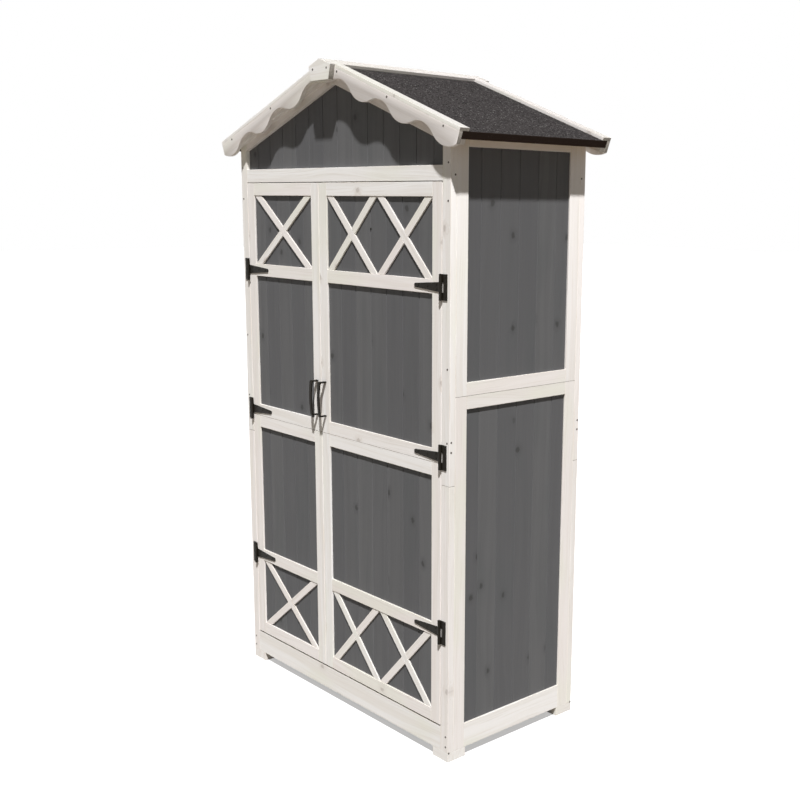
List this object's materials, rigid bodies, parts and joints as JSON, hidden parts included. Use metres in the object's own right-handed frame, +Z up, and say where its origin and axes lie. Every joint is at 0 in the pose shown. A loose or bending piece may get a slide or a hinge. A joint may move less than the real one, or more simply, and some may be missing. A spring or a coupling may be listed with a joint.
{
  "type": "garden storage cabinet",
  "caption": "Upright timber cabinet with a gabled felt roof, wavy bargeboards, boarded sides and unequal hinged doors with crossed slats, a tool bay and shelves inside.",
  "frame": {"origin": "on the ground under the middle of the cabinet", "axes": "+Z up, the doors face -Y, +X to the right when facing the doors"},
  "size_m": [1.1322, 0.594, 1.9116],
  "materials": {
    "white_timber": "thin white wash, grain and knots showing",
    "grey_boards": "dark grey stain, matt",
    "plain_timber": "planed, unfinished",
    "roof_felt": "mineral-faced, matt and speckled",
    "black_steel": "black, half gloss",
    "bright_steel": "zinc plated",
    "catch_case": "brown moulded case"
  },
  "bodies": {
    "cabinet": {"corner_feet": "white_timber", "left_front_post": "white_timber", "right_front_post": "white_timber", "left_rear_post": "white_timber", "right_rear_post": "white_timber", "left_lower_side_frame": "white_timber", "left_upper_side_frame": "white_timber", "right_lower_side_frame": "white_timber", "right_upper_side_frame": "white_timber", "left_side_boards": "grey_boards", "right_side_boards": "grey_boards", "back_lower_frame": "white_timber", "back_upper_frame": "white_timber", "back_boards": "grey_boards", "lintel": "white_timber", "plinth_board": "white_timber", "front_gable_rafters": "white_timber", "rear_gable_rafters": "white_timber", "front_gable_boards": "grey_boards", "rear_gable_boards": "grey_boards", "floor_boards": "plain_timber", "floor_bearers": "plain_timber", "divider_panel": "plain_timber", "lower_shelf": "plain_timber", "middle_shelf": "plain_timber", "upper_shelf": "plain_timber", "shelf_battens": "plain_timber", "left_roof_deck": "plain_timber", "right_roof_deck": "plain_timber", "roof_felt": "roof_felt", "ridge_caps": "white_timber", "verge_battens": "white_timber", "right_front_bargeboard": "white_timber", "left_front_bargeboard": "white_timber", "right_rear_bargeboard": "white_timber", "left_rear_bargeboard": "white_timber", "right_front_verge_cap": "white_timber", "left_front_verge_cap": "white_timber", "right_rear_verge_cap": "white_timber", "left_rear_verge_cap": "white_timber", "front_apex_cover": "white_timber", "rear_apex_cover": "white_timber", "hinge_plates": "black_steel", "hinge_pins": "black_steel", "door_catches": "catch_case"},
    "left_door": {"left_door_lower_frame": "white_timber", "left_door_upper_frame": "white_timber", "left_door_boards": "grey_boards", "left_door_lattice": "white_timber", "left_door_straps": "black_steel", "left_door_handle": "black_steel", "left_door_strike": "bright_steel"},
    "right_door": {"right_door_lower_frame": "white_timber", "right_door_upper_frame": "white_timber", "right_door_boards": "grey_boards", "right_door_lattice": "white_timber", "right_door_straps": "black_steel", "right_door_handle": "black_steel", "right_door_strike": "bright_steel"}
  },
  "joints": [
    {"name": "left_door_hinge", "type": "hinge", "parent": "cabinet", "child": "left_door", "pos_m": [-0.46675, -0.2548, 0.8395], "axis": [0, 0, -1], "range_deg": [0, 175]},
    {"name": "right_door_hinge", "type": "hinge", "parent": "cabinet", "child": "right_door", "pos_m": [0.46675, -0.2548, 0.8395], "axis": [0, 0, 1], "range_deg": [0, 175]}
  ]
}
